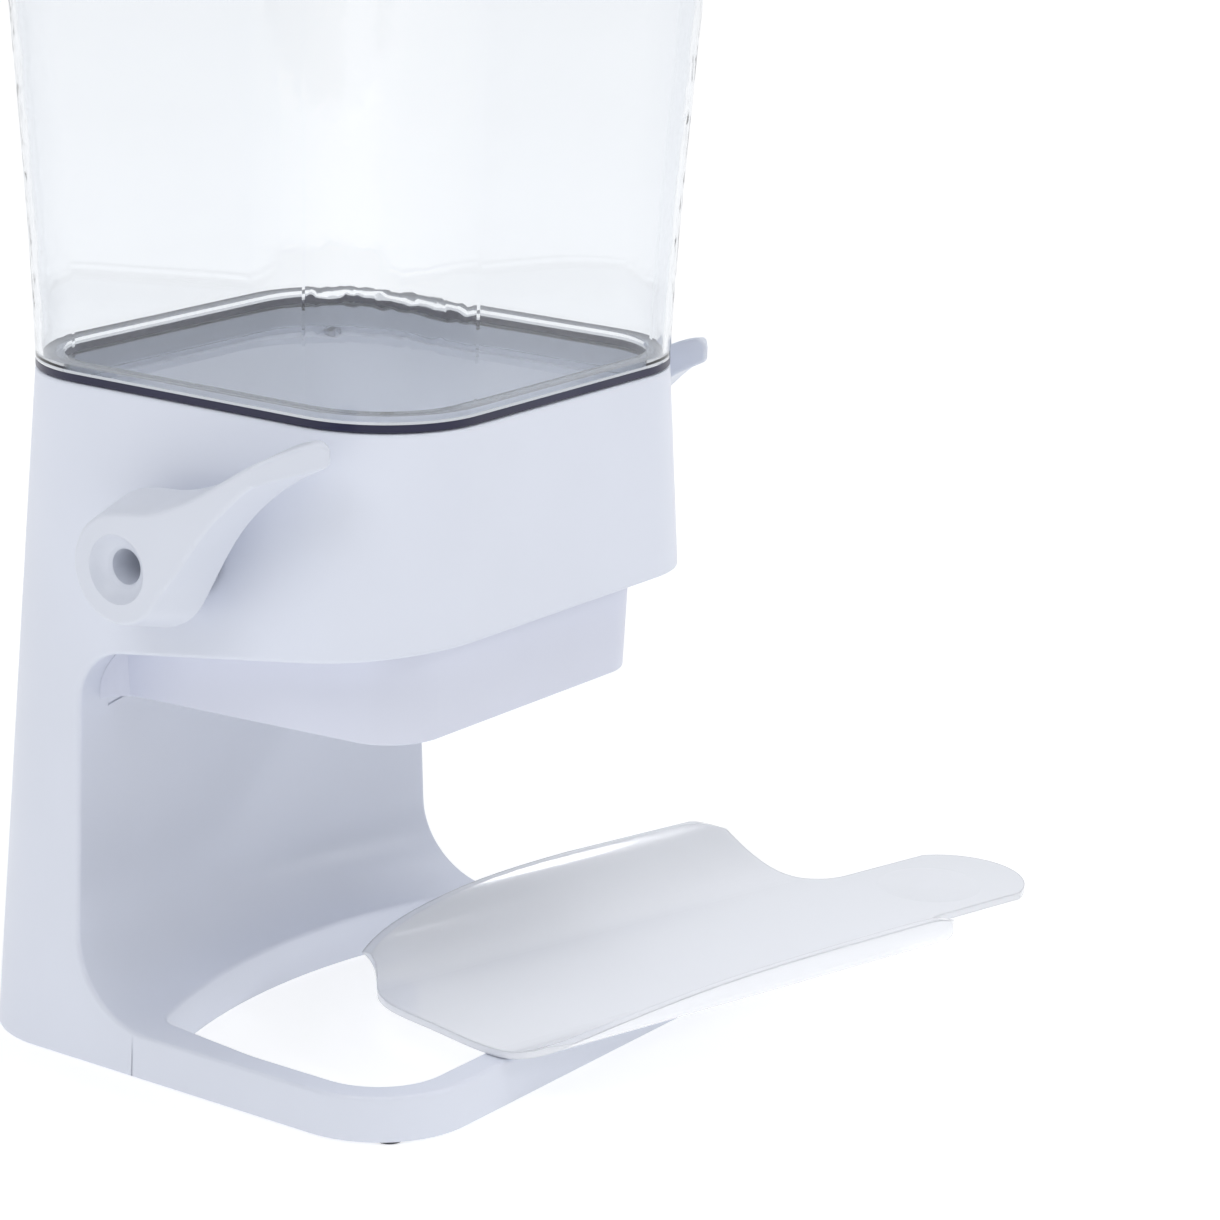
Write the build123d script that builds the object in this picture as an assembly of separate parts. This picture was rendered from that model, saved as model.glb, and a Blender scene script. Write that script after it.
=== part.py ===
from build123d import *
import os
from math import cos, sin, radians, sqrt

os.makedirs("parts", exist_ok=True)

# ------------------------------------------------------------------
# Driving dimensions, mm.  Origin on the surface under the middle of
# the base, +Z up, front of the dispenser towards -Y, column at +Y.
# ------------------------------------------------------------------
STAND_Z0 = 0.8          # underside of the stand's rim, the feet stand 0.8 lower
STAND_TOP = 206.2       # top rim of the housing
HALF_BOT = 86.15        # half width of the stand at z = 0
HALF_TOP = 77.2         # half width of the stand at its top rim
R_BOT = 32.0            # corner radius in plan at the bottom
R_TOP = 34.6            # corner radius in plan at the top
WALL = 2.8              # wall of the stand
EDGE_R = 1.2            # rounded outside edges of the stand

BAY_R = 223.2           # plan radius of the column's inner wall
BAY_CY = -170.6         # its centre
BAY_FILLET_LOW = 25.0   # column to foot
BAY_FILLET_TOP = 16.0   # column to underside of the housing
RING_TOP = 14.6         # top face of the base ring
SKIRT_Y, SKIRT_Z, SKIRT_SLOPE = 10.8, 130.4, 0.149   # lower edge of the housing

AX_Y, AX_Z = -2.0, 164.5        # pivot axis of gate and levers
GATE_RI, GATE_RO = 40.3, 42.8   # sector plate
GATE_SPAN = 31.0                # half angle of the plate
GATE_CHEEK_X0, GATE_CHEEK_X1 = 52.0, 54.5
AXLE_R = 4.0
RUN = 0.05                      # radial running clearance of axle in bush

LEVER_X0, LEVER_X1 = 91.0, 109.0
HUB_R = 20.4            # hub radius towards the housing
HUB_R1 = 15.8           # hub radius at the outer face
COLLAR_X = 80.7
TIP_Y0 = -65.6          # where the slanted thumb pad meets the lever's inner face
PAD_SLOPE = 0.80556     # how far the pad runs back per mm outwards

CHUTE_HX = 60.5         # half width at the mouth
CHUTE_YF, CHUTE_YR = -66.0, 42.0
CHUTE_WALL = 2.2
CHUTE_TOP = 150.0
CHUTE_GAP = 0.04        # fit of the chute against the column

HOPPER_Z0 = 208.7
HOPPER_TOP = 410.0
HOPPER_WALL = 2.2
LID_GAP = 0.3

TRAY_YAW = -15.0
TRAY_X, TRAY_Y = 52.0, -74.0    # middle of the trough at rest
TRAY_Z = RING_TOP + 0.3
TRAY_T = 2.3


def rsq(hx, hy, r, z, cy=0.0):
    """Rounded rectangle of half sizes hx, hy at height z."""
    return Plane.XY.offset(z) * (Pos(0, cy) * RectangleRounded(2 * hx, 2 * hy, r))


def half_at(z):
    return HALF_BOT + (HALF_TOP - HALF_BOT) * z / STAND_TOP


def rad_at(z):
    return R_BOT + (R_TOP - R_BOT) * z / STAND_TOP


def stand_body(z0, z1, inset=0.0):
    a, b = half_at(z0) - inset, half_at(z1) - inset
    return loft([rsq(a, a, rad_at(z0) - inset, z0), rsq(b, b, rad_at(z1) - inset, z1)], ruled=True)


def prism(sketch, z0, z1):
    """Straight prism of an XY sketch."""
    return extrude(Plane.XY.offset(z0) * sketch, z1 - z0)


def yz_prism(sketch_yz, x0, x1):
    """Prism along X of a sketch whose local x is Y and local y is Z."""
    pl = Plane(origin=(x0, 0, 0), x_dir=(0, 1, 0), z_dir=(1, 0, 0))
    return extrude(pl * sketch_yz, x1 - x0)


def cyl_x(r, x0, x1, y=AX_Y, z=AX_Z):
    """Cylinder along X."""
    pl = Plane(origin=(x0, y, z), x_dir=(0, 1, 0), z_dir=(1, 0, 0))
    return extrude(pl * Circle(r), x1 - x0)


def cyl_z(r, x, y, z0, z1):
    return Pos(x, y, z0) * extrude(Circle(r), z1 - z0)


def tidy(shape, name):
    """Keep the solids of a result as one compound or solid."""
    sol = shape.solids()
    out = sol[0] if len(sol) == 1 else Compound(children=list(sol))
    out.label = name
    return out


PARTS = {}


def keep(name, shape):
    PARTS[name] = tidy(shape, name)


# ------------------------------------------------------------------
# Stand: one moulding, cored from below
# ------------------------------------------------------------------
def skirt_z(y, lift=0.0):
    return SKIRT_Z + SKIRT_SLOPE * (SKIRT_Y - y) + lift


def bay_tool(off):
    """The open serving bay between ring, column and housing."""
    y0, y1 = -150.0, 70.0
    lift = off / cos(radians(8.5))
    poly = Polygon((y0, RING_TOP - off * 0.93), (y1, RING_TOP - off * 0.93),
                   (y1, skirt_z(y1, lift)), (y0, skirt_z(y0, lift)), align=None)
    t = yz_prism(poly, -125, 125)
    t = t & (Pos(0, BAY_CY, -10) * extrude(Circle(BAY_R + off), 200))
    low = [e for e in t.edges().filter_by(GeomType.CIRCLE)
           if abs(e.center().Z - (RING_TOP - off * 0.93)) < 0.2 and e.center().Y > -20]
    t = fillet(low, BAY_FILLET_LOW + off)
    top = [e for e in t.edges() if e.geom_type == GeomType.ELLIPSE and e.center().Z > 110]
    t = fillet(top, BAY_FILLET_TOP + off)
    return t


ring_hole = make_face([
    ThreePointArc((-72.0, 14.0), (0, 28.5), (72.0, 14.0)),
    Line((72.0, 14.0), (76.5, -25.0)),
    Line((76.5, -25.0), (76.5, -76.2)),
    Line((76.5, -76.2), (-76.5, -76.2)),
    Line((-76.5, -76.2), (-76.5, -25.0)),
    Line((-76.5, -25.0), (-72.0, 14.0)),
])
ring_hole = fillet([v for v in ring_hole.vertices() if v.Y < -70], 22.0)
ring_hole = fillet([v for v in ring_hole.vertices() if v.Y > 10], 9.0)
ring_hole = fillet([v for v in ring_hole.vertices() if abs(v.Y + 25.0) < 0.5], 60.0)
ring_hole_out = offset(ring_hole, amount=2.5, kind=Kind.ARC)

outer = stand_body(STAND_Z0, STAND_TOP)
# softened top rim, and a small radius at the foot
outer = fillet([e for e in outer.edges() if e.center().Z > STAND_TOP - 0.05], EDGE_R)
outer = fillet([e for e in outer.edges() if e.center().Z < STAND_Z0 + 0.05], 0.6)
bay = bay_tool(0.0)
inner = stand_body(0.0, STAND_TOP + 8, WALL)
cavity = inner - bay_tool(WALL) - prism(ring_hole_out, -5, 40)


def rim_of(body, shell, tools):
    """Edges of body that lie both on the shell's skin and on one of the tools."""
    found = []
    skin = shell.faces()
    for e in body.edges():
        pts = [e @ t for t in (0.21, 0.5, 0.79)]
        if all(min(t.distance_to(Vertex(p)) for t in tools) < 2e-3 for p in pts):
            if all(min(f.distance_to(Vertex(p)) for f in skin) < 2e-3 for p in pts):
                found.append(e)
    return found


stand = outer - bay
# the bay's outline on the outside is rounded over
bay_rim = rim_of(stand, outer, [bay])
print("bay outline edges", len(bay_rim), round(sum(e.length for e in bay_rim), 1))
stand = fillet(bay_rim, EDGE_R)
stand = stand - prism(ring_hole, -5, 60)
hole_rim = [e for e in stand.edges() if abs(e.center().Z - RING_TOP) < 0.02 and abs(e.center().X) < 77.5
            and -77.0 < e.center().Y < 29.5 and all(abs((e @ t).Z - RING_TOP) < 0.02 for t in (0.1, 0.9))]
print("hole outline edges", len(hole_rim), round(sum(e.length for e in hole_rim), 1))
stand = fillet(hole_rim, EDGE_R)
stand = stand - cavity

# opening for the chute in the housing's underside
opening = prism(Pos(0, 3.0) * RectangleRounded(2 * 62.4, 2 * 71.6, 10), 105, 152)
opening = opening & (Pos(0, BAY_CY, 90) * extrude(Circle(BAY_R + 0.3), 70))
stand = stand - opening

# funnel sections: height, half sizes, corner radius (inside)
FN = [(119.0, 48.0, 17.0, 3.0), (159.5, 48.0, 34.0, 6.0), (177.0, 48.0, 47.0, 12.0), (195.0, 69.5, 69.5, 40.0)]


def funnel_core(off):
    out = None
    sec = [rsq(hx + off, hy + off, r + off, z, AX_Y if z < 180 else 0.0) for z, hx, hy, r in FN]
    for a, b in zip(sec[:-1], sec[1:]):
        s = loft([a, b], ruled=True)
        out = s if out is None else out + s
    return out


# posts that carry the funnel, up the housing's corners
POST = 60.8
for sx in (-1, 1):
    for sy in (-1, 1):
        z0 = 152.0
        p = cyl_z(5.4, sx * (POST + 1.2), sy * (POST + 1.2), z0, 194.98)
        web = Rot(0, 0, sx * sy * 45) * Box(14, 3.2, 194.98 - z0)
        p = p + Pos(sx * (POST + 5.5), sy * (POST + 5.5), (194.98 + z0) / 2) * web
        p = (p & stand_body(100, STAND_TOP, 0.6)) - funnel_core(2.3)
        stand = stand + p
        stand = stand - cyl_z(1.6, sx * POST, sy * POST, 176, 200)
# bosses for the chute's flange
CH_BOSS = [(-67.2, -52.0), (67.2, -52.0), (-67.2, 12.0), (67.2, 12.0)]
for bx, by in CH_BOSS:
    z0 = skirt_z(by) + 0.9
    b = cyl_z(4.2, bx, by, z0, CHUTE_TOP - 2.22)
    stand = stand + b
    stand = stand - cyl_z(1.25, bx, by, CHUTE_TOP - 9.4, CHUTE_TOP)
# bosses for the plate that closes the column from below
CV_BOSS = [(-78.6, 46.0), (78.6, 46.0), (-34.0, 78.6), (34.0, 78.6)]
for bx, by in CV_BOSS:
    b = cyl_z(4.4, bx, by, 4.4, 44.0) & stand_body(1, 60, 0.6)
    stand = stand + b
    stand = stand - cyl_z(1.4, bx, by, 0.0, 24.0)
# solid pads for the two front feet, inside the ring
FT = 73.2
for sx in (-1, 1):
    pad = cyl_z(6.2, sx * FT, -FT, 1.9, RING_TOP - 0.6) & stand_body(1, 60, 0.8)
    pad = pad - prism(ring_hole, -5, 60)
    stand = stand + pad
    stand = stand - cyl_z(4.45, sx * FT, -FT, -1.0, 1.9)
# raised rims round the bush holes, inside the housing
for sx in (-1, 1):
    rim = cyl_x(13.0, min(sx * 74.2, sx * 78.5), max(sx * 74.2, sx * 78.5)) & stand_body(100, STAND_TOP, 0.4)
    stand = stand + rim
    stand = stand - cyl_x(9.0, min(sx * 60, sx * 95), max(sx * 60, sx * 95))
# fine parting line where the foot meets the ring on both flanks
for sx in (-1, 1):
    g = Pos(sx * 86.35, 14.0, 7.6) * Box(1.6, 0.35, 15.2)
    stand = stand - g
keep("stand", stand)

# ------------------------------------------------------------------
# Plate under the column, its screws and the feet
# ------------------------------------------------------------------
cover_sk = (RectangleRounded(2 * 82.9, 2 * 82.9, 28.8)
            & Pos(0, 60) * Rectangle(200, 92)) - offset(ring_hole, amount=2.9, kind=Kind.ARC)
cover = prism(cover_sk, 1.9, 4.1)
for bx, by in CV_BOSS:
    cover = cover - cyl_z(1.8, bx, by, 0, 6)
    cover = cover - Pos(bx, by, 1.9) * extrude(Circle(3.4), 1.0)
REAR_FEET = [(-58.0, 60.0), (58.0, 60.0)]
for bx, by in REAR_FEET:
    cover = cover - cyl_z(3.0, bx, by, 0, 6)
keep("column_cover", max(cover.solids(), key=lambda s: s.volume))


def screw(x, y, z_head, length, r_head, h_head, r_shank, up=True):
    """Pan screw along Z; the head's outer face lies at z_head."""
    s = -1 if up else 1
    head_lo, head_hi = sorted((z_head, z_head - s * h_head))
    body = cyl_z(r_head, x, y, head_lo, head_hi)
    outer_face = z_head
    sh_lo, sh_hi = sorted((z_head - s * h_head, z_head - s * (h_head + length)))
    body = body + cyl_z(r_shank, x, y, sh_lo, sh_hi)
    # cross recess
    zc = outer_face - s * 0.55
    cr = Pos(x, y, zc) * (Box(r_head * 1.15, 0.7, 1.1) + Box(0.7, r_head * 1.15, 1.1))
    return body - cr


# heads face down, shanks run up
cs = [screw(bx, by, 1.3, 12.0, 3.1, 1.5, 1.35, up=True) for bx, by in CV_BOSS]
keep("cover_screws", Compound(children=cs))

feet = []
for bx, by in REAR_FEET:
    f = cyl_z(8.0, bx, by, 0.0, 1.8) + cyl_z(2.9, bx, by, 1.8, 5.2)
    f = f + Pos(bx, by, 4.2) * extrude(Circle(3.6), 1.2)
    feet.append(chamfer([e for e in f.edges() if abs(e.center().Z) < 0.05], 0.5))
for sx in (-1, 1):
    f = cyl_z(4.4, sx * FT, -FT, 0.0, 1.85)
    feet.append(chamfer([e for e in f.edges() if abs(e.center().Z) < 0.05], 0.4))
keep("feet", Compound(children=feet))

# ------------------------------------------------------------------
# Chute under the housing
# ------------------------------------------------------------------
cyc = (CHUTE_YF + CHUTE_YR) / 2
chy = (CHUTE_YR - CHUTE_YF) / 2


def chute_body(inset, z0, z1):
    """Rounded at the front, and cut off behind along the column's curved wall."""
    k = 1.0 / 38.0
    a0, a1 = (z0 - 112) * k, (z1 - 112) * k
    box = loft([rsq(CHUTE_HX + a0 - inset, chy + a0 - inset + 20, 17.0 - inset, z0, cyc + 20),
                rsq(CHUTE_HX + a1 - inset, chy + a1 - inset + 20, 17.0 - inset, z1, cyc + 20)], ruled=True)
    return box & (Pos(0, BAY_CY, 90) * extrude(Circle(BAY_R - CHUTE_GAP - inset), 80))


# the side walls sweep outwards where they meet the column
FLARE_R = 9.0
fx = CHUTE_HX - 0.8 + FLARE_R
fy = BAY_CY + sqrt((BAY_R + 0.7 - FLARE_R) ** 2 - fx ** 2)
flare_sk = Polygon((CHUTE_HX - 1.6, fy - 3.0), (fx, fy - 3.0), (fx + 4, fy + 8.6), (fx + 4, fy + 16), (CHUTE_HX - 1.6, fy + 16), align=None)
flare_sk = (flare_sk - Pos(fx, fy) * Circle(FLARE_R)) & (Pos(0, BAY_CY) * Circle(BAY_R - CHUTE_GAP))
flare_sk = max(flare_sk.faces(), key=lambda f: f.area)
flare = prism(flare_sk, 104.0, 134.0) & bay_tool(-CHUTE_GAP - 0.02)
flare = max(flare.solids(), key=lambda s: s.volume)

chute = chute_body(0.0, 104.0, CHUTE_TOP) + flare + mirror(flare, Plane.YZ) - chute_body(CHUTE_WALL, 100.0, CHUTE_TOP + 4)
flange = prism(RectangleRounded(2 * 71.8, 2 * 61.0, 12).moved(Location((0, cyc - 0.2, 0))), CHUTE_TOP - 2.2, CHUTE_TOP)
flange = flange & (Pos(0, BAY_CY, 90) * extrude(Circle(BAY_R - CHUTE_GAP), 80))
flange = flange - chute_body(CHUTE_WALL, 100.0, CHUTE_TOP + 4)
for sx in (-1, 1):
    for cy in (-20.0,):
        flange = flange - Pos(sx * 70.5, cy, CHUTE_TOP - 1) * Box(8, 46, 6)
flange = flange & stand_body(100, 180, WALL + 0.6)
chute = chute + flange
for bx, by in CH_BOSS:
    chute = chute - cyl_z(1.6, bx, by, CHUTE_TOP - 4, CHUTE_TOP + 2)
# slanted mouth
mouth = Polygon((-120, 90), (90, 90), (90, 109.9 - 0.032 * 90), (-120, 109.9 + 0.032 * 120), align=None)
chute = chute - yz_prism(mouth, -90, 90)
rim_edges = [e for e in chute.edges() if e.center().Z < 113.2 and all((e @ t).Z < 113.2 for t in (0.0, 1.0))
             and abs(e.center().X) < 60.9 and e.center().Y < fy]
for pick in (rim_edges, [e for e in rim_edges if e.geom_type == GeomType.LINE]):
    try:
        chute = fillet(pick, 0.7)
        print("chute mouth rounded", len(pick))
        break
    except Exception:
        continue
keep("chute", chute)

chs = [screw(bx, by, CHUTE_TOP + 1.8, 8.6, 2.9, 1.75, 1.2, up=False) for bx, by in CH_BOSS]
keep("chute_screws", Compound(children=chs))

# ------------------------------------------------------------------
# Funnel between the hopper's foot and the gate
# ------------------------------------------------------------------
fo = funnel_core(2.0)
fi = funnel_core(0.0)
ring = prism(RectangleRounded(148.0, 148.0, 31.4), 195.0, 205.4)
pocket = prism(RectangleRounded(144.0, 144.0, 29.4), 197.0, 210.0)
throat = prism(RectangleRounded(139.0, 139.0, 40.0), 194.9, 200.0)
funnel = (fo + ring) - pocket - throat - fi
# arc-shaped outlet, concentric with the gate
NECK_R = 38.2
below = Pos(0, AX_Y, 90) * extrude(Rectangle(200, 200), AX_Z - 28 - 90)
funnel = funnel - (below - cyl_x(NECK_R, -120, 120))
for sx in (-1, 1):
    for sy in (-1, 1):
        funnel = funnel - cyl_z(1.9, sx * POST, sy * POST, 190, 202)
keep("funnel", funnel)

fs = [screw(sx * POST, sy * POST, 198.7, 12.0, 2.6, 1.65, 1.5, up=False) for sx in (-1, 1) for sy in (-1, 1)]
keep("funnel_screws", Compound(children=fs))

# soft frame on the outlet
seal_o = rsq(50.0, 19.2, 4.0, 119.0, AX_Y)
seal_i = rsq(48.4, 17.6, 3.0, 119.0, AX_Y)
seal = extrude(seal_o, 30) - extrude(seal_i, 30)
seal = seal & (cyl_x(GATE_RI - 0.35, -60, 60) - cyl_x(NECK_R + 0.02, -70, 70))
seal = seal & (Pos(0, 0, 60) * extrude(Rectangle(300, 300), AX_Z - 20 - 60))
keep("outlet_seal", seal)

# ------------------------------------------------------------------
# Gate: sector plate, two cheeks and hubs on one moulding
# ------------------------------------------------------------------


def polar(r, deg):
    """Point at angle deg from straight down, positive towards +Y."""
    return (AX_Y + r * sin(radians(deg)), AX_Z - r * cos(radians(deg)))


arc_o = [polar(GATE_RO, d) for d in (-GATE_SPAN, 0, GATE_SPAN)]
arc_i = [polar(GATE_RI, d) for d in (GATE_SPAN, 0, -GATE_SPAN)]
plate_sk = make_face([ThreePointArc(*arc_o), Line(arc_o[2], arc_i[0]), ThreePointArc(*arc_i), Line(arc_i[2], arc_o[0])])
gate = yz_prism(plate_sk, -GATE_CHEEK_X1, GATE_CHEEK_X1)
cheek_sk = make_face([ThreePointArc(*arc_o), Line(arc_o[2], (AX_Y + 9.2, AX_Z + 2.0)),
                      Line((AX_Y + 9.2, AX_Z + 2.0), (AX_Y - 9.2, AX_Z + 2.0)), Line((AX_Y - 9.2, AX_Z + 2.0), arc_o[0])])
for sx in (-1, 1):
    x0, x1 = sorted((sx * GATE_CHEEK_X0, sx * GATE_CHEEK_X1))
    h0, h1 = sorted((sx * GATE_CHEEK_X0, sx * 62.0))
    gate = gate + yz_prism(cheek_sk, x0, x1) + cyl_x(9.2, x0, x1) + cyl_x(7.4, h0, h1)
    b0, b1 = sorted((sx * 53.0, sx * 64.0))
    gate = gate - cyl_x(AXLE_R + 0.02, b0, b1)
    # hole for the cross pin
    gate = gate - cyl_z(1.05, sx * 59.0, AX_Y, AX_Z - 12, AX_Z + 12)
    # stiffening rib down each cheek
    r0, r1 = sorted((sx * GATE_CHEEK_X1, sx * 57.0))
    rib = Polygon((AX_Y - 1.2, AX_Z - 38), (AX_Y + 1.2, AX_Z - 38), (AX_Y + 1.2, AX_Z - 5), (AX_Y - 1.2, AX_Z - 5), align=None)
    gate = gate + (yz_prism(rib, r0, r1) - cyl_x(7.0, -80, 80))
keep("gate", gate)

pins = [cyl_z(1.0, sx * 59.0, AX_Y, AX_Z - 7.4, AX_Z + 7.4) for sx in (-1, 1)]
keep("gate_pins", Compound(children=pins))

AXLE_END = 86.0
for sx, nm in ((-1, "left"), (1, "right")):
    a0, a1 = sorted((sx * 53.1, sx * AXLE_END))
    ax = cyl_x(AXLE_R, a0, a1)
    # tapped end for the lever's screw, groove for the clip, hole for the pin
    t0, t1 = sorted((sx * 74.0, sx * 87.0))
    ax = ax - cyl_x(1.55, t0, t1)
    g0, g1 = sorted((sx * 71.3, sx * 72.5))
    ax = ax - (cyl_x(6.0, g0, g1) - cyl_x(3.1, g0 - 1, g1 + 1))
    ax = ax - cyl_z(1.05, sx * 59.0, AX_Y, AX_Z - 12, AX_Z + 12)
    # flat that drives the lever
    f0, f1 = sorted((sx * 81.2, sx * 87.0))
    ax = ax - Pos((f0 + f1) / 2, AX_Y, AX_Z + 4.0) * Box(f1 - f0, 12, 2.0)
    keep("axle_" + nm, ax)

    # bearing bush: barrel in the housing wall with an inner flange
    b0, b1 = sorted((sx * 73.0, sx * 79.3))
    fl0, fl1 = sorted((sx * 73.0, sx * 74.15))
    bush = cyl_x(8.95, b0, b1) + cyl_x(11.5, fl0, fl1)
    bush = bush - cyl_x(AXLE_R + RUN, b0 - 5, b1 + 5)
    keep("bush_" + nm, bush)

# retaining clips in the axle grooves, just inside the bushes
clips = []
for sx in (-1, 1):
    c0, c1 = sorted((sx * 71.5, sx * 72.3))
    c = cyl_x(6.6, c0, c1) - cyl_x(3.15, c0 - 1, c1 + 1)
    c = c - Pos(sx * 71.9, AX_Y, AX_Z - 5) * Box(3, 4.4, 10)
    clips.append(c.solids()[0])
keep("axle_clips", Compound(children=clips))

# torsion springs on the gate's hubs
for sx, nm in ((-1, "left"), (1, "right")):
    wire, rc, turns, pitch = 0.7, 8.9, 3.5, 1.75
    hx = Helix(pitch=pitch, height=pitch * turns, radius=rc)
    # local Z becomes X, start of the helix near the cheek
    prof = Plane(origin=hx @ 0, z_dir=hx % 0) * Circle(wire)
    coil = sweep(prof, path=hx)
    coil = Pos(sx * 63.4, AX_Y, AX_Z) * Rot(0, sx * 90, 0) * coil
    keep("spring_" + nm, coil)

# ------------------------------------------------------------------
# Levers
# ------------------------------------------------------------------


def lever_outline(r, tr, tc, low_pts, up_pts):
    """Side view of a lever: hub of radius r, arm, rounded tip of radius tr at tc."""
    a_bot, a_top = 209.8, 74.6               # where the arm's edges leave the hub

    def on_hub(d):
        return (AX_Y + r * cos(radians(d)), AX_Z + r * sin(radians(d)))

    def on_tip(ny, nz):
        n = sqrt(ny * ny + nz * nz)
        return (tc[0] + tr * ny / n, tc[1] + tr * nz / n)

    t_bot = (sin(radians(a_bot)), -cos(radians(a_bot)))
    t_top = (sin(radians(a_top)), -cos(radians(a_top)))
    lo_t, mid_t, hi_t = on_tip(-0.49, -0.87), on_tip(-1, 0.12), on_tip(0.25, 0.97)
    low = Spline(on_hub(a_bot), *low_pts, lo_t, tangents=[t_bot, (-0.87, 0.49)])
    tip = ThreePointArc(lo_t, mid_t, hi_t)
    up = Spline(hi_t, *up_pts, on_hub(a_top), tangents=[(0.97, -0.25), t_top])
    hub = ThreePointArc(on_hub(a_top), on_hub(-40), on_hub(a_bot))
    return make_face([low, tip, up, hub])


def lever():
    """The right lever; the left one is its mirror image."""
    sx = 1
    # broad towards the housing, narrower at the outer face
    f0 = lever_outline(HUB_R, 4.2, (-60.8, 203.8), [(-27.3, 168.0), (-35.8, 180.2), (-44.9, 188.9), (-54.8, 195.8)],
                       [(-52.6, 205.3), (-44.4, 200.9), (-35.4, 195.3), (-24.0, 189.5), (-10.7, 186.0)])
    f1 = lever_outline(HUB_R1, 2.6, (-60.3, 203.0), [(-22.4, 165.0), (-31.3, 176.8), (-42.3, 188.6), (-54.0, 197.6)],
                       [(-51.3, 202.3), (-44.9, 198.6), (-36.6, 193.4), (-25.0, 187.0), (-12.6, 182.2)])
    body = loft([Plane(origin=(x, 0, 0), x_dir=(0, 1, 0), z_dir=(1, 0, 0)) * f for x, f in ((LEVER_X0, f0), (LEVER_X1, f1))],
                ruled=True)
    # thumb pad: the tip is cut off at a slant, longer towards the housing
    def on_pad(e):
        return all(abs((e @ t).Y - TIP_Y0 - (abs((e @ t).X) - LEVER_X0) * PAD_SLOPE) < 0.05 for t in (0.1, 0.5, 0.9))

    def at_x(e, x):
        return all(abs((e @ t).X - x) < 0.02 for t in (0.1, 0.5, 0.9))

    wedge = Polygon((LEVER_X0 - 12.0, -90.0), (LEVER_X1 + 12.0, -90.0),
                    (LEVER_X1 + 12.0, TIP_Y0 + (LEVER_X1 - LEVER_X0 + 12.0) * PAD_SLOPE),
                    (LEVER_X0 - 12.0, TIP_Y0 - 12.0 * PAD_SLOPE), align=None)
    body = body - prism(wedge, 150, 240)
    body = fillet([e for e in body.edges() if at_x(e, LEVER_X1) or (on_pad(e) and not at_x(e, LEVER_X0))], 1.2)
    body = fillet([e for e in body.edges() if at_x(e, LEVER_X0)], 1.0)
    # collar towards the housing
    body = body + cyl_x(14.0, *sorted((sx * COLLAR_X, sx * (LEVER_X0 + 1))))
    # conical dish, screw recess and screw hole turned about the pivot axis
    pl = Plane(origin=(0, AX_Y, AX_Z), x_dir=(1, 0, 0), z_dir=(0, -1, 0))
    turned = make_face([
        Line((sx * 112.0, 0), (sx * 112.0, 12.4)),
        Line((sx * 112.0, 12.4), (sx * 109.3, 10.3)),
        Spline((sx * 109.3, 10.3), (sx * 107.2, 8.7), (sx * 105.4, 6.2), tangents=[(-sx * 0.9, -0.7), (-sx * 0.45, -1.0)]),
        Line((sx * 105.4, 6.2), (sx * 104.6, 5.2)),
        Line((sx * 104.6, 5.2), (sx * 90.0, 5.0)),
        Line((sx * 90.0, 5.0), (sx * 90.0, 1.8)),
        Line((sx * 90.0, 1.8), (sx * 84.0, 1.8)),
        Line((sx * 84.0, 1.8), (sx * 84.0, 0)),
        Line((sx * 84.0, 0), (sx * 112.0, 0)),
    ])
    body = body - revolve(pl * turned, Axis((0, AX_Y, AX_Z), (1, 0, 0)), 360)
    # socket for the axle, with its flat
    sock = cyl_x(AXLE_R + 0.02, *sorted((sx * 70.0, sx * 86.2)))
    q0, q1 = sorted((sx * 81.4, sx * 87.0))
    sock = sock - Pos((q0 + q1) / 2, AX_Y, AX_Z + 4.04) * Box(q1 - q0, 12, 2.0)
    return body - sock


lever_r = lever()
keep("lever_right", lever_r)
keep("lever_left", mirror(lever_r, Plane.YZ))

lsc, lwa = [], []
for sx in (-1, 1):
    w0, w1 = sorted((sx * 90.05, sx * 90.85))
    lwa.append(cyl_x(4.6, w0, w1) - cyl_x(1.75, w0 - 1, w1 + 1))
    h0, h1 = sorted((sx * 90.9, sx * 93.0))
    k0, k1 = sorted((sx * 76.0, sx * 91.0))
    s = cyl_x(3.3, h0, h1) + cyl_x(1.5, k0, k1)
    s = s - Pos(sx * 92.6, AX_Y, AX_Z) * (Box(1.4, 3.8, 0.7) + Box(1.4, 0.7, 3.8))
    lsc.append(s)
keep("lever_screws", Compound(children=lsc))
keep("lever_washers", Compound(children=lwa))

# ------------------------------------------------------------------
# Clear hopper with its gasket
# ------------------------------------------------------------------
HP = [(208.7, 77.2, 34.6), (240.0, 78.3, 35.0), (275.0, 80.0, 35.4), (320.0, 82.6, 36.2), (410.0, 87.6, 37.5)]


hop = loft([rsq(h, h, r, z) for z, h, r in HP]) - loft([rsq(h - HOPPER_WALL, h - HOPPER_WALL, r - HOPPER_WALL, z) for z, h, r in HP])
foot = prism(RectangleRounded(2 * 76.9, 2 * 76.9, 34.2), HOPPER_Z0, HOPPER_Z0 + 2.2) - prism(RectangleRounded(138.8, 138.8, 27.4), 200, 220)
skirt = prism(RectangleRounded(143.2, 143.2, 29.2), 199.4, HOPPER_Z0 + 1.0) - prism(RectangleRounded(138.8, 138.8, 27.4), 190, 220)
bead = prism(RectangleRounded(2 * 89.4, 2 * 89.4, 39.2), 406.0, HOPPER_TOP) - prism(RectangleRounded(2 * 85.3, 2 * 85.3, 35.2), 400, 420)
hop = hop + foot + skirt + bead
try:
    hop = fillet([e for e in hop.edges() if e.center().Z > HOPPER_TOP - 0.05], 0.8)
except Exception:
    pass
keep("hopper", hop)

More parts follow.
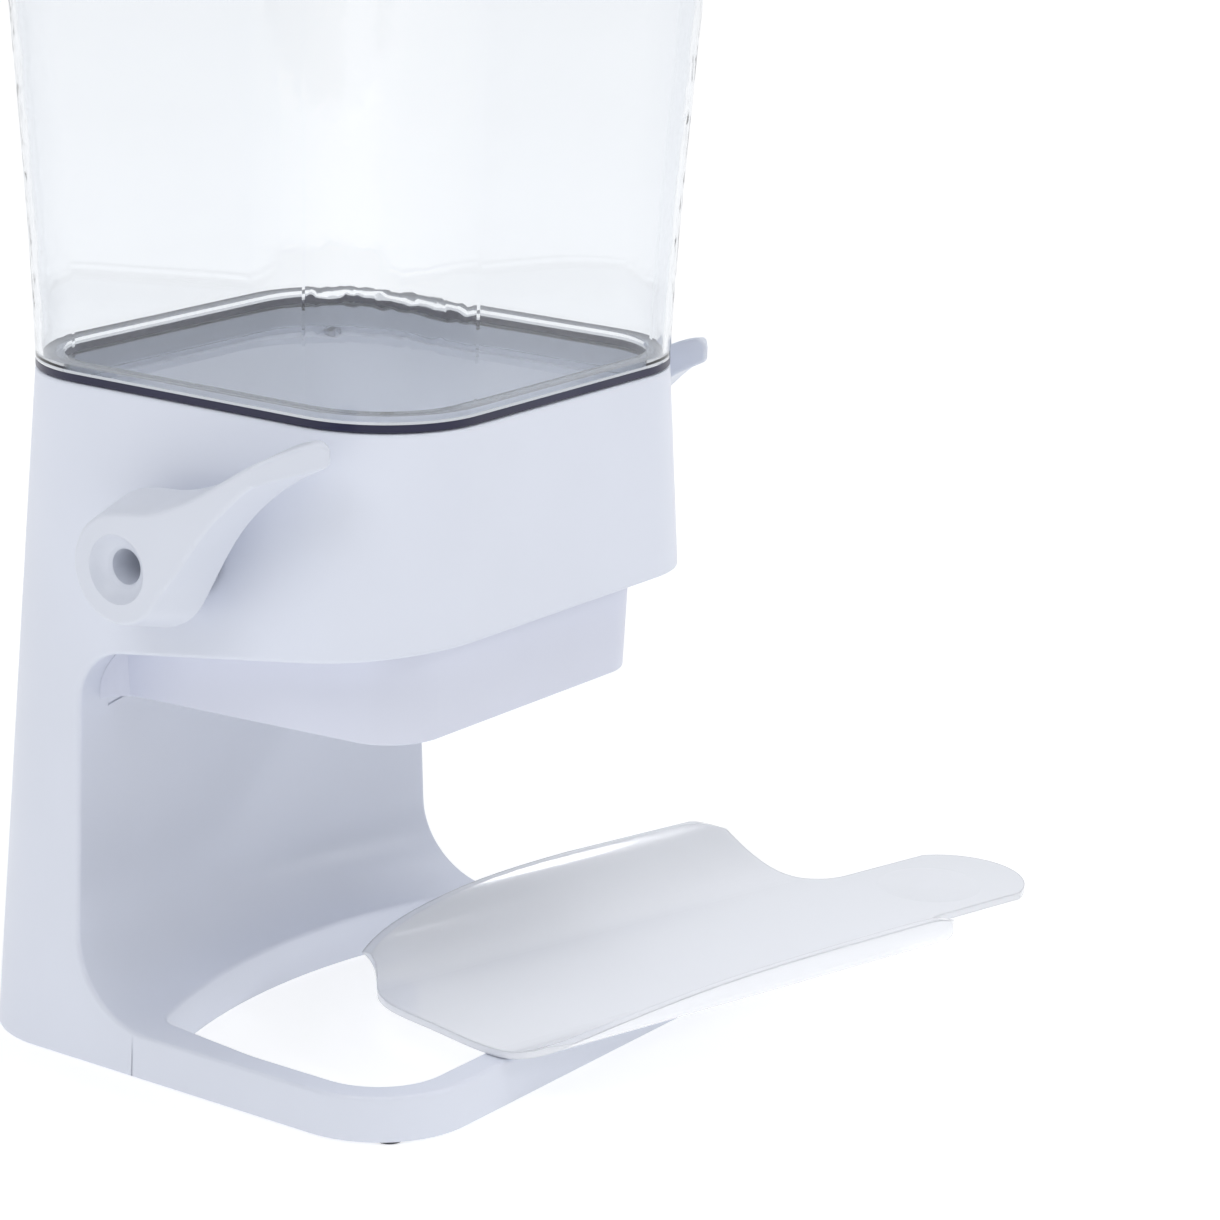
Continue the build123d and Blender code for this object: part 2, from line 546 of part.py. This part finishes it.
gk = prism(RectangleRounded(2 * 77.2, 2 * 77.2, 34.6), STAND_TOP + 0.3, HOPPER_Z0 - 0.02) - prism(RectangleRounded(143.4, 143.4, 29.4), 200, 215)
keep("hopper_gasket", gk)

# ------------------------------------------------------------------
# Lid with its seal
# ------------------------------------------------------------------
LZ = HOPPER_TOP + LID_GAP
lid_out = loft([rsq(90.6, 90.6, 40.0, LZ), rsq(90.0, 90.0, 39.6, LZ + 8.0)], ruled=True)
lid = lid_out
lid = fillet([e for e in lid.edges() if e.center().Z > LZ + 7.9], 3.0)
# recess round the finger grip, and the grip itself
dish = loft([rsq(52.0, 38.0, 20.0, LZ + 3.2), rsq(58.0, 44.0, 25.0, LZ + 9.0)], ruled=True)
lid = lid - dish
grip = prism(RectangleRounded(90.0, 15.0, 7.0), LZ + 2.6, LZ + 15.0)
grip = fillet([e for e in grip.edges() if e.center().Z > LZ + 14.9], 2.6)
lid = lid + grip
plug = prism(RectangleRounded(2 * 83.0, 2 * 83.0, 33.2), LZ - 13.0, LZ + 0.5) - prism(RectangleRounded(2 * 80.8, 2 * 80.8, 31.0), LZ - 20, LZ + 0.5)
lid = lid + plug
lid = lid - (prism(RectangleRounded(2 * 80.8, 2 * 80.8, 31.0), LZ - 2.0, LZ + 5.2) - prism(RectangleRounded(2 * 60.0, 2 * 46.0, 26.0), LZ + 0.9, LZ + 8.0))
groove = prism(RectangleRounded(2 * 84.0, 2 * 84.0, 34.2), LZ - 8.0, LZ - 4.0) - prism(RectangleRounded(2 * 81.9, 2 * 81.9, 32.1), LZ - 9, LZ - 3)
lid = lid - groove
keep("lid", lid)
lg = prism(RectangleRounded(2 * 84.55, 2 * 84.55, 34.7), LZ - 7.6, LZ - 4.4) - prism(RectangleRounded(2 * 81.95, 2 * 81.95, 32.1), LZ - 9, LZ - 3)
try:
    lg = fillet([e for e in lg.edges() if e.center().Z < LZ - 7.5], 0.5)
except Exception:
    pass
keep("lid_gasket", lg)

# ------------------------------------------------------------------
# Scoop tray: trough with rising long sides and a flat tongue handle.
# Built along local +X (handle end) and then placed on the ring.
# ------------------------------------------------------------------
TL, TW, TH = 166.0, 118.0, 19.5     # trough length, width, height of the sides
FLOOR = 29.0                        # half width of the flat floor
HW, HL = 46.0, 76.0                 # handle width and length
SIDE_R = ((TW / 2 - FLOOR) ** 2 + TH ** 2) / (2 * TH)   # the sides curve up on this radius


def tray_section(t):
    """Open channel of thickness t across local Y: flat floor, sides curving up and out."""
    def side(sy, r, deg):
        return (sy * (FLOOR + r * sin(radians(deg))), SIDE_R - r * cos(radians(deg)))

    top = 65.0
    r1 = SIDE_R - t
    return make_face([
        ThreePointArc(side(-1, SIDE_R, top), side(-1, SIDE_R, top / 2), side(-1, SIDE_R, 0)),
        Line(side(-1, SIDE_R, 0), side(1, SIDE_R, 0)),
        ThreePointArc(side(1, SIDE_R, 0), side(1, SIDE_R, top / 2), side(1, SIDE_R, top)),
        Line(side(1, SIDE_R, top), side(1, r1, top)),
        ThreePointArc(side(1, r1, top), side(1, r1, top / 2), side(1, r1, 0)),
        Line(side(1, r1, 0), side(-1, r1, 0)),
        ThreePointArc(side(-1, r1, 0), side(-1, r1, top / 2), side(-1, r1, top)),
        Line(side(-1, r1, top), side(-1, SIDE_R, top)),
    ])


pl_tray = Plane(origin=(-TL / 2 - 5, 0, 0), x_dir=(0, 1, 0), z_dir=(1, 0, 0))
trough = extrude(pl_tray * tray_section(TRAY_T), TL + HL + 20)
# side view: the rims sink gently towards the open lip, and to the neck behind
side_pl = Plane(origin=(0, 70, 0), x_dir=(1, 0, 0), z_dir=(0, -1, 0))
x_lip, x_end = -TL / 2, TL / 2 + HL
side = make_face([
    Line((x_lip - 3, -2), (x_end + 3, -2)),
    Line((x_end + 3, -2), (x_end + 3, 7.0)),
    Line((x_end + 3, 7.0), (TL / 2 + 32, 7.0)),
    Spline((TL / 2 + 32, 7.0), (TL / 2 + 16, 8.9), (TL / 2 + 4, 13.4), (TL / 2 - 8, 17.9), (TL / 2 - 24, TH - 0.1),
           tangents=[(-1.0, 0.0), (-1.0, 0.02)]),
    Spline((TL / 2 - 24, TH - 0.1), (20, 19.0), (-5, 18.2), (-25, 16.7), (-42, 14.4), (-56, 11.7), (-67, 8.6), (-76, 5.4), (x_lip - 3, 2.9),
           tangents=[(-1.0, 0.0), (-1.0, -0.3)]),
    Line((x_lip - 3, 2.9), (x_lip - 3, -2)),
])
trough = trough & extrude(side_pl * side, 140)
# plan outline: bowed scoop lip at -X, neck and tongue at +X
nk = TL / 2 + 26
plan = make_face([
    Spline((x_lip + 38, -TW / 2), (x_lip + 12.0, -TW / 2 + 11.5), (x_lip + 2.6, -TW / 2 + 30), (x_lip, 0),
           (x_lip + 2.6, TW / 2 - 30), (x_lip + 12.0, TW / 2 - 11.5), (x_lip + 38, TW / 2),
           tangents=[(-1.0, 0.0), (1.0, 0.0)]),
    Line((x_lip + 38, TW / 2), (TL / 2 - 14, TW / 2)),
    Spline((TL / 2 - 14, TW / 2), (TL / 2 + 5.0, TW / 2 - 14), (nk, HW / 2), tangents=[(1.0, 0.0), (1.0, 0.0)]),
    Line((nk, HW / 2), (x_end - 15, HW / 2)),
    ThreePointArc((x_end - 15, HW / 2), (x_end, 0), (x_end - 15, -HW / 2)),
    Line((x_end - 15, -HW / 2), (nk, -HW / 2)),
    Spline((nk, -HW / 2), (TL / 2 + 5.0, -TW / 2 + 14), (TL / 2 - 14, -TW / 2), tangents=[(-1.0, 0.0), (-1.0, 0.0)]),
    Line((TL / 2 - 14, -TW / 2), (x_lip + 38, -TW / 2)),
])
tray = trough & prism(plan, -5, TH + 10)
# shallow thumb hollow in the tongue
tray = tray - Pos(x_end - 34, 0, TRAY_T + 160.0) * Sphere(160.9)
place = Pos(TRAY_X, TRAY_Y, TRAY_Z) * Rot(0, 0, TRAY_YAW)
keep("tray", place * tray)

# ------------------------------------------------------------------
for name, shape in PARTS.items():
    export_step(shape, f"parts/{name}.step")
    bb = shape.bounding_box()
    print(f"{name:16s} solids {len(shape.solids()):2d} vol {shape.volume:10.0f} "
          f"x {bb.min.X:7.1f} {bb.max.X:7.1f} y {bb.min.Y:7.1f} {bb.max.Y:7.1f} z {bb.min.Z:7.1f} {bb.max.Z:7.1f}")
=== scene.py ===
import math

import bpy
from mathutils import Matrix, Vector

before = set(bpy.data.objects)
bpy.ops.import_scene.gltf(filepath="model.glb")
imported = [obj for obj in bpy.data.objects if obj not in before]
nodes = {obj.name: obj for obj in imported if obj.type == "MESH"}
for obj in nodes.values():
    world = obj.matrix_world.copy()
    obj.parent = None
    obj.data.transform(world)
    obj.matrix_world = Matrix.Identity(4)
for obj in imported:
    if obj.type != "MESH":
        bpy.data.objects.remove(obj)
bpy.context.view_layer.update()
scene = bpy.context.scene


# ------------------------------------------------------------------
# Material helpers.  Object coordinates are metres in the part's frame.
# ------------------------------------------------------------------
def srgb(r, g, b):
    """0-255 display colour to linear."""
    out = []
    for c in (r, g, b):
        c /= 255.0
        out.append(c / 12.92 if c <= 0.04045 else ((c + 0.055) / 1.055) ** 2.4)
    return out


class Mat:
    def __init__(self, name):
        self.m = bpy.data.materials.new(name)
        self.m.use_nodes = True
        self.t = self.m.node_tree
        self.t.nodes.clear()
        self.out = self.n("ShaderNodeOutputMaterial")
        self.p = self.n("ShaderNodeBsdfPrincipled")
        self.link(self.p.outputs[0], self.out.inputs["Surface"])
        self.coord = self.n("ShaderNodeTexCoord").outputs["Object"]

    def n(self, kind, **props):
        node = self.t.nodes.new(kind)
        for k, v in props.items():
            setattr(node, k, v)
        return node

    def link(self, a, b):
        self.t.links.new(a, b)

    def set(self, **values):
        for k, v in values.items():
            self.p.inputs[k.replace("_", " ")].default_value = v

    def noise(self, scale, detail=2.0, rough=0.5, stretch=None):
        tex = self.n("ShaderNodeTexNoise")
        tex.inputs["Scale"].default_value = scale
        tex.inputs["Detail"].default_value = detail
        tex.inputs["Roughness"].default_value = rough
        if stretch is None:
            self.link(self.coord, tex.inputs["Vector"])
        else:
            mp = self.n("ShaderNodeMapping")
            mp.inputs["Scale"].default_value = stretch
            self.link(self.coord, mp.inputs["Vector"])
            self.link(mp.outputs[0], tex.inputs["Vector"])
        return tex.outputs["Fac"]

    def spread(self, fac, lo, hi, a=0.3, b=0.7):
        mr = self.n("ShaderNodeMapRange")
        mr.inputs["From Min"].default_value = a
        mr.inputs["From Max"].default_value = b
        mr.inputs["To Min"].default_value = lo
        mr.inputs["To Max"].default_value = hi
        self.link(fac, mr.inputs["Value"])
        return mr.outputs["Result"]

    def mix(self, fac, a, b):
        mx = self.n("ShaderNodeMix", data_type="RGBA")
        self.link(fac, mx.inputs["Factor"])
        for sock, val in ((mx.inputs[6], a), (mx.inputs[7], b)):
            if hasattr(val, "is_linked"):
                self.link(val, sock)
            else:
                sock.default_value = (*val, 1.0)
        return mx.outputs[2]

    def bump(self, height, strength, distance, normal=None):
        bp = self.n("ShaderNodeBump")
        bp.inputs["Strength"].default_value = strength
        bp.inputs["Distance"].default_value = distance
        self.link(height, bp.inputs["Height"])
        if normal is not None:
            self.link(normal, bp.inputs["Normal"])
        return bp.outputs["Normal"]

    def edges(self, radius, samples=4):
        bv = self.n("ShaderNodeBevel", samples=samples)
        bv.inputs["Radius"].default_value = radius
        return bv.outputs["Normal"]


def moulded(name, col, rough, grain=1500.0, depth=0.000035, edge=0.0008, coat=0.0, coat_rough=0.1, vary=0.035, spec=0.5, sss=0.0):
    """Injection-moulded plastic: slight colour drift, fine grain, faint flow marks, softened edges."""
    m = Mat(name)
    drift = m.spread(m.noise(9.0, 3.0, 0.55), 0.0, 1.0)
    c0 = [x * (1 - vary) for x in col]
    c1 = [min(1.0, x * (1 + vary * 0.6)) for x in col]
    m.link(m.mix(drift, c0, c1), m.p.inputs["Base Color"])
    flow = m.noise(26.0, 4.0, 0.6, stretch=(1.0, 1.0, 0.35))
    m.link(m.spread(flow, rough - 0.05, rough + 0.06), m.p.inputs["Roughness"])
    fine = m.noise(grain, 2.0, 0.6)
    wavy = m.noise(30.0, 2.0, 0.5)
    nrm = m.edges(edge) if edge else None
    nrm = m.bump(wavy, 0.06, 0.0006, nrm)
    nrm = m.bump(fine, 0.35, depth, nrm)
    m.link(nrm, m.p.inputs["Normal"])
    m.p.inputs["Specular IOR Level"].default_value = spec
    m.p.inputs["Coat Weight"].default_value = coat
    m.p.inputs["Coat Roughness"].default_value = coat_rough
    if sss:
        m.p.inputs["Subsurface Weight"].default_value = sss
        m.p.inputs["Subsurface Radius"].default_value = (0.004, 0.004, 0.0045)
        m.p.inputs["Subsurface Scale"].default_value = 1.0
    return m.m


def metal(name, col, rough, stretch=(1.0, 1.0, 1.0), grain=900.0, aniso=0.0):
    m = Mat(name)
    m.p.inputs["Metallic"].default_value = 1.0
    m.p.inputs["Anisotropic"].default_value = aniso
    scratch = m.noise(grain, 3.0, 0.7, stretch=stretch)
    tone = m.noise(60.0, 3.0, 0.6)
    m.link(m.mix(m.spread(tone, 0.0, 1.0), [x * 0.86 for x in col], [min(1, x * 1.08) for x in col]), m.p.inputs["Base Color"])
    m.link(m.spread(scratch, rough - 0.07, rough + 0.10), m.p.inputs["Roughness"])
    m.link(m.bump(scratch, 0.25, 0.00002, m.edges(0.00025)), m.p.inputs["Normal"])
    return m.m


def soft(name, col, rough, grain=700.0, sheen=0.0):
    m = Mat(name)
    drift = m.spread(m.noise(22.0, 3.0, 0.6), 0.0, 1.0)
    m.link(m.mix(drift, [x * 0.85 for x in col], [min(1, x * 1.12) for x in col]), m.p.inputs["Base Color"])
    m.link(m.spread(m.noise(70.0, 3.0, 0.6), rough - 0.06, rough + 0.08), m.p.inputs["Roughness"])
    m.link(m.bump(m.noise(grain, 2.0, 0.6), 0.3, 0.00005, m.edges(0.0004)), m.p.inputs["Normal"])
    m.p.inputs["Sheen Weight"].default_value = sheen
    m.p.inputs["Specular IOR Level"].default_value = 0.4
    return m.m


def clear(name, tint, edge, ior=1.49):
    """Clear moulded plastic, with painted shade towards its grazing edges. Shadow rays pass, so that what is inside
    stays lit.
    """
    m = Mat(name)
    haze = m.spread(m.noise(14.0, 3.0, 0.6), 0.0, 1.0)
    body = m.mix(haze, [x * 0.985 for x in tint], tint)
    # Painted shade: the base colour turns to the darker edge colour where the surface is seen at a grazing angle,
    # standing in for the dark refracted and reflected surroundings along the clear walls' edges.
    lw = m.n("ShaderNodeLayerWeight")
    lw.inputs["Blend"].default_value = 0.22
    m.link(m.mix(lw.outputs["Facing"], body, edge), m.p.inputs["Base Color"])
    m.p.inputs["Transmission Weight"].default_value = 1.0
    m.p.inputs["IOR"].default_value = ior
    m.link(m.spread(m.noise(40.0, 4.0, 0.65), 0.008, 0.035), m.p.inputs["Roughness"])
    m.link(m.bump(m.noise(11.0, 2.0, 0.5), 0.02, 0.0004), m.p.inputs["Normal"])
    tr = m.n("ShaderNodeBsdfTransparent")
    tr.inputs["Color"].default_value = (0.93, 0.94, 0.96, 1.0)
    lp = m.n("ShaderNodeLightPath")
    mx = m.n("ShaderNodeMixShader")
    m.link(lp.outputs["Is Shadow Ray"], mx.inputs[0])
    m.link(m.p.outputs[0], mx.inputs[1])
    m.link(tr.outputs[0], mx.inputs[2])
    m.link(mx.outputs[0], m.out.inputs["Surface"])
    return m.m


WHITE = srgb(226, 230, 241)
mats = {
    "white": moulded("white_satin", WHITE, 0.36, edge=0.0008),
    "white_chute": moulded("white_chute", srgb(224, 227, 240), 0.40, edge=0.0),
    "white_lever": moulded("white_lever", srgb(219, 223, 233), 0.36, edge=0.0003),
    "inner": moulded("inner_white", srgb(222, 226, 235), 0.45, edge=0.0005),
    "tray": moulded("tray_gloss", srgb(240, 242, 247), 0.16, grain=600.0, depth=0.00001, edge=0.0009, coat=0.5, coat_rough=0.05, vary=0.015),
    "bush": moulded("bush_natural", srgb(226, 222, 206), 0.42, edge=0.0003),
    "steel": metal("zinc_steel", (0.62, 0.63, 0.66), 0.30),
    "spring": metal("spring_wire", (0.42, 0.42, 0.44), 0.34, stretch=(0.4, 1.0, 1.0)),
    "navy": soft("navy_rubber", (0.018, 0.018, 0.055), 0.34, grain=1200.0),
    "silicone": soft("silicone_milky", srgb(214, 218, 224), 0.48),
    "feet": soft("foot_rubber", (0.045, 0.045, 0.052), 0.62, sheen=0.1),
    # The last colour is the painted shade at the clear walls' grazing edges.
    "clear": clear("clear_plastic", (0.955, 0.965, 0.975), (0.60, 0.64, 0.70)),
}
use = {
    "stand": "white", "column_cover": "white", "cover_screws": "steel", "feet": "feet", "chute": "white_chute",
    "chute_screws": "steel", "funnel": "inner", "funnel_screws": "steel", "outlet_seal": "silicone", "gate": "inner",
    "gate_pins": "steel", "axle_left": "steel", "axle_right": "steel", "bush_left": "bush", "bush_right": "bush",
    "axle_clips": "steel", "spring_left": "spring", "spring_right": "spring", "lever_left": "white_lever",
    "lever_right": "white_lever", "lever_screws": "steel", "lever_washers": "steel", "hopper": "clear",
    "hopper_gasket": "navy", "lid": "white", "lid_gasket": "silicone", "tray": "tray",
}
for name, key in use.items():
    o = nodes[name]
    o.data.materials.clear()
    o.data.materials.append(mats[key])

# ------------------------------------------------------------------
# Floor, light, camera
# ------------------------------------------------------------------
fm = Mat("floor_pale")
fm.link(fm.mix(fm.spread(fm.noise(1.2, 2.0), 0, 1), (0.50, 0.505, 0.515), (0.53, 0.535, 0.54)), fm.p.inputs["Base Color"])
fm.p.inputs["Roughness"].default_value = 0.9
fm.p.inputs["Specular IOR Level"].default_value = 0.0
fm.p.inputs["Emission Color"].default_value = (1.0, 1.0, 1.0, 1.0)
away = fm.n("ShaderNodeVectorMath", operation="LENGTH")
fm.link(fm.coord, away.inputs[0])
fm.link(fm.spread(away.outputs["Value"], 0.62, 0.74, 0.35, 1.5), fm.p.inputs["Emission Strength"])
me = bpy.data.meshes.new("floor")
S = 14.0
me.from_pydata([(-S, -S, 0), (S, -S, 0), (S, S, 0), (-S, S, 0)], [], [(0, 1, 2, 3)])
floor = bpy.data.objects.new("floor", me)
scene.collection.objects.link(floor)
me.materials.append(fm.m)

world = bpy.data.worlds.new("studio")
scene.world = world
world.use_nodes = True
wt = world.node_tree
wt.nodes.clear()
wo = wt.nodes.new("ShaderNodeOutputWorld")
bg = wt.nodes.new("ShaderNodeBackground")
tc = wt.nodes.new("ShaderNodeTexCoord")
sp = wt.nodes.new("ShaderNodeSeparateXYZ")
ramp = wt.nodes.new("ShaderNodeValToRGB")
ramp.color_ramp.elements[0].position = 0.0
ramp.color_ramp.elements[0].color = (0.74, 0.77, 0.82, 1)
ramp.color_ramp.elements[1].position = 0.75
ramp.color_ramp.elements[1].color = (0.97, 0.98, 1.0, 1)
wt.links.new(tc.outputs["Generated"], sp.inputs[0])
wt.links.new(sp.outputs["Z"], ramp.inputs[0])
wt.links.new(ramp.outputs[0], bg.inputs["Color"])
side = wt.nodes.new("ShaderNodeVectorMath")
side.operation = "DOT_PRODUCT"
side.inputs[1].default_value = (0.80, 0.60, 0.0)
glow = wt.nodes.new("ShaderNodeMapRange")
glow.inputs["From Min"].default_value = -0.2
glow.inputs["From Max"].default_value = 0.7
glow.inputs["To Min"].default_value = 0.40
glow.inputs["To Max"].default_value = 0.86
wt.links.new(tc.outputs["Generated"], side.inputs[0])
wt.links.new(side.outputs["Value"], glow.inputs["Value"])
wt.links.new(glow.outputs["Result"], bg.inputs["Strength"])
wt.links.new(bg.outputs[0], wo.inputs["Surface"])


def area(name, loc, target, size, power, color=(1, 1, 1)):
    ld = bpy.data.lights.new(name, "AREA")
    ld.shape = "RECTANGLE"
    ld.size, ld.size_y = size
    ld.energy = power
    ld.color = color
    lo = bpy.data.objects.new(name, ld)
    lo.location = loc
    d = Vector(target) - Vector(loc)
    lo.rotation_mode = "QUATERNION"
    lo.rotation_quaternion = d.to_track_quat("-Z", "Y")
    scene.collection.objects.link(lo)
    return lo


area("key", (-1.30, -0.20, 1.60), (0, 0, 0.08), (0.9, 0.9), 8.2)
area("low_left", (-1.5, -0.35, 0.50), (0, 0, 0.05), (1.2, 0.6), 1.0, (0.98, 0.99, 1.0))
area("top", (0.25, -0.55, 1.9), (0, 0, 0.05), (1.4, 1.2), 11.0)
area("front_right", (0.60, -1.40, 0.95), (0, 0.02, 0.06), (0.7, 0.5), 0.5, (0.985, 0.99, 1.0))

sd = bpy.data.lights.new("bay_fill", "SPOT")
sd.energy = 26.0
sd.shadow_soft_size = 0.16
sd.spot_size = math.radians(9.0)
sd.spot_blend = 1.0
so = bpy.data.objects.new("bay_fill", sd)
so.location = (0.50, -1.05, 0.66)
so.rotation_mode = "QUATERNION"
so.rotation_quaternion = (Vector((-0.060, 0.022, 0.006)) - so.location).to_track_quat("-Z", "Y")
scene.collection.objects.link(so)

AZ, EL, ROLL = math.radians(-55.1955), math.radians(15.6503), math.radians(1.5558)
back = Vector((math.sin(AZ) * math.cos(EL), -math.cos(AZ) * math.cos(EL), math.sin(EL)))
right = Vector((math.cos(AZ), math.sin(AZ), 0))
up = back.cross(right)
r2 = right * math.cos(ROLL) + up * math.sin(ROLL)
u2 = up * math.cos(ROLL) - right * math.sin(ROLL)
cam_data = bpy.data.cameras.new("camera")
cam_data.sensor_width = 36.0
cam_data.sensor_fit = "HORIZONTAL"
cam_data.lens = 3993.56 / 1220 * 36.0
cam_data.clip_start, cam_data.clip_end = 0.05, 60.0
cam = bpy.data.objects.new("camera", cam_data)
scene.collection.objects.link(cam)
rot = Matrix((r2, u2, back)).transposed()
cam.matrix_world = Matrix.Translation((-0.914333, -0.730300, 0.458446)) @ rot.to_4x4()
scene.camera = cam
scene.view_settings.view_transform = "Standard"
scene.view_settings.look = "None"
scene.view_settings.exposure = 0.0
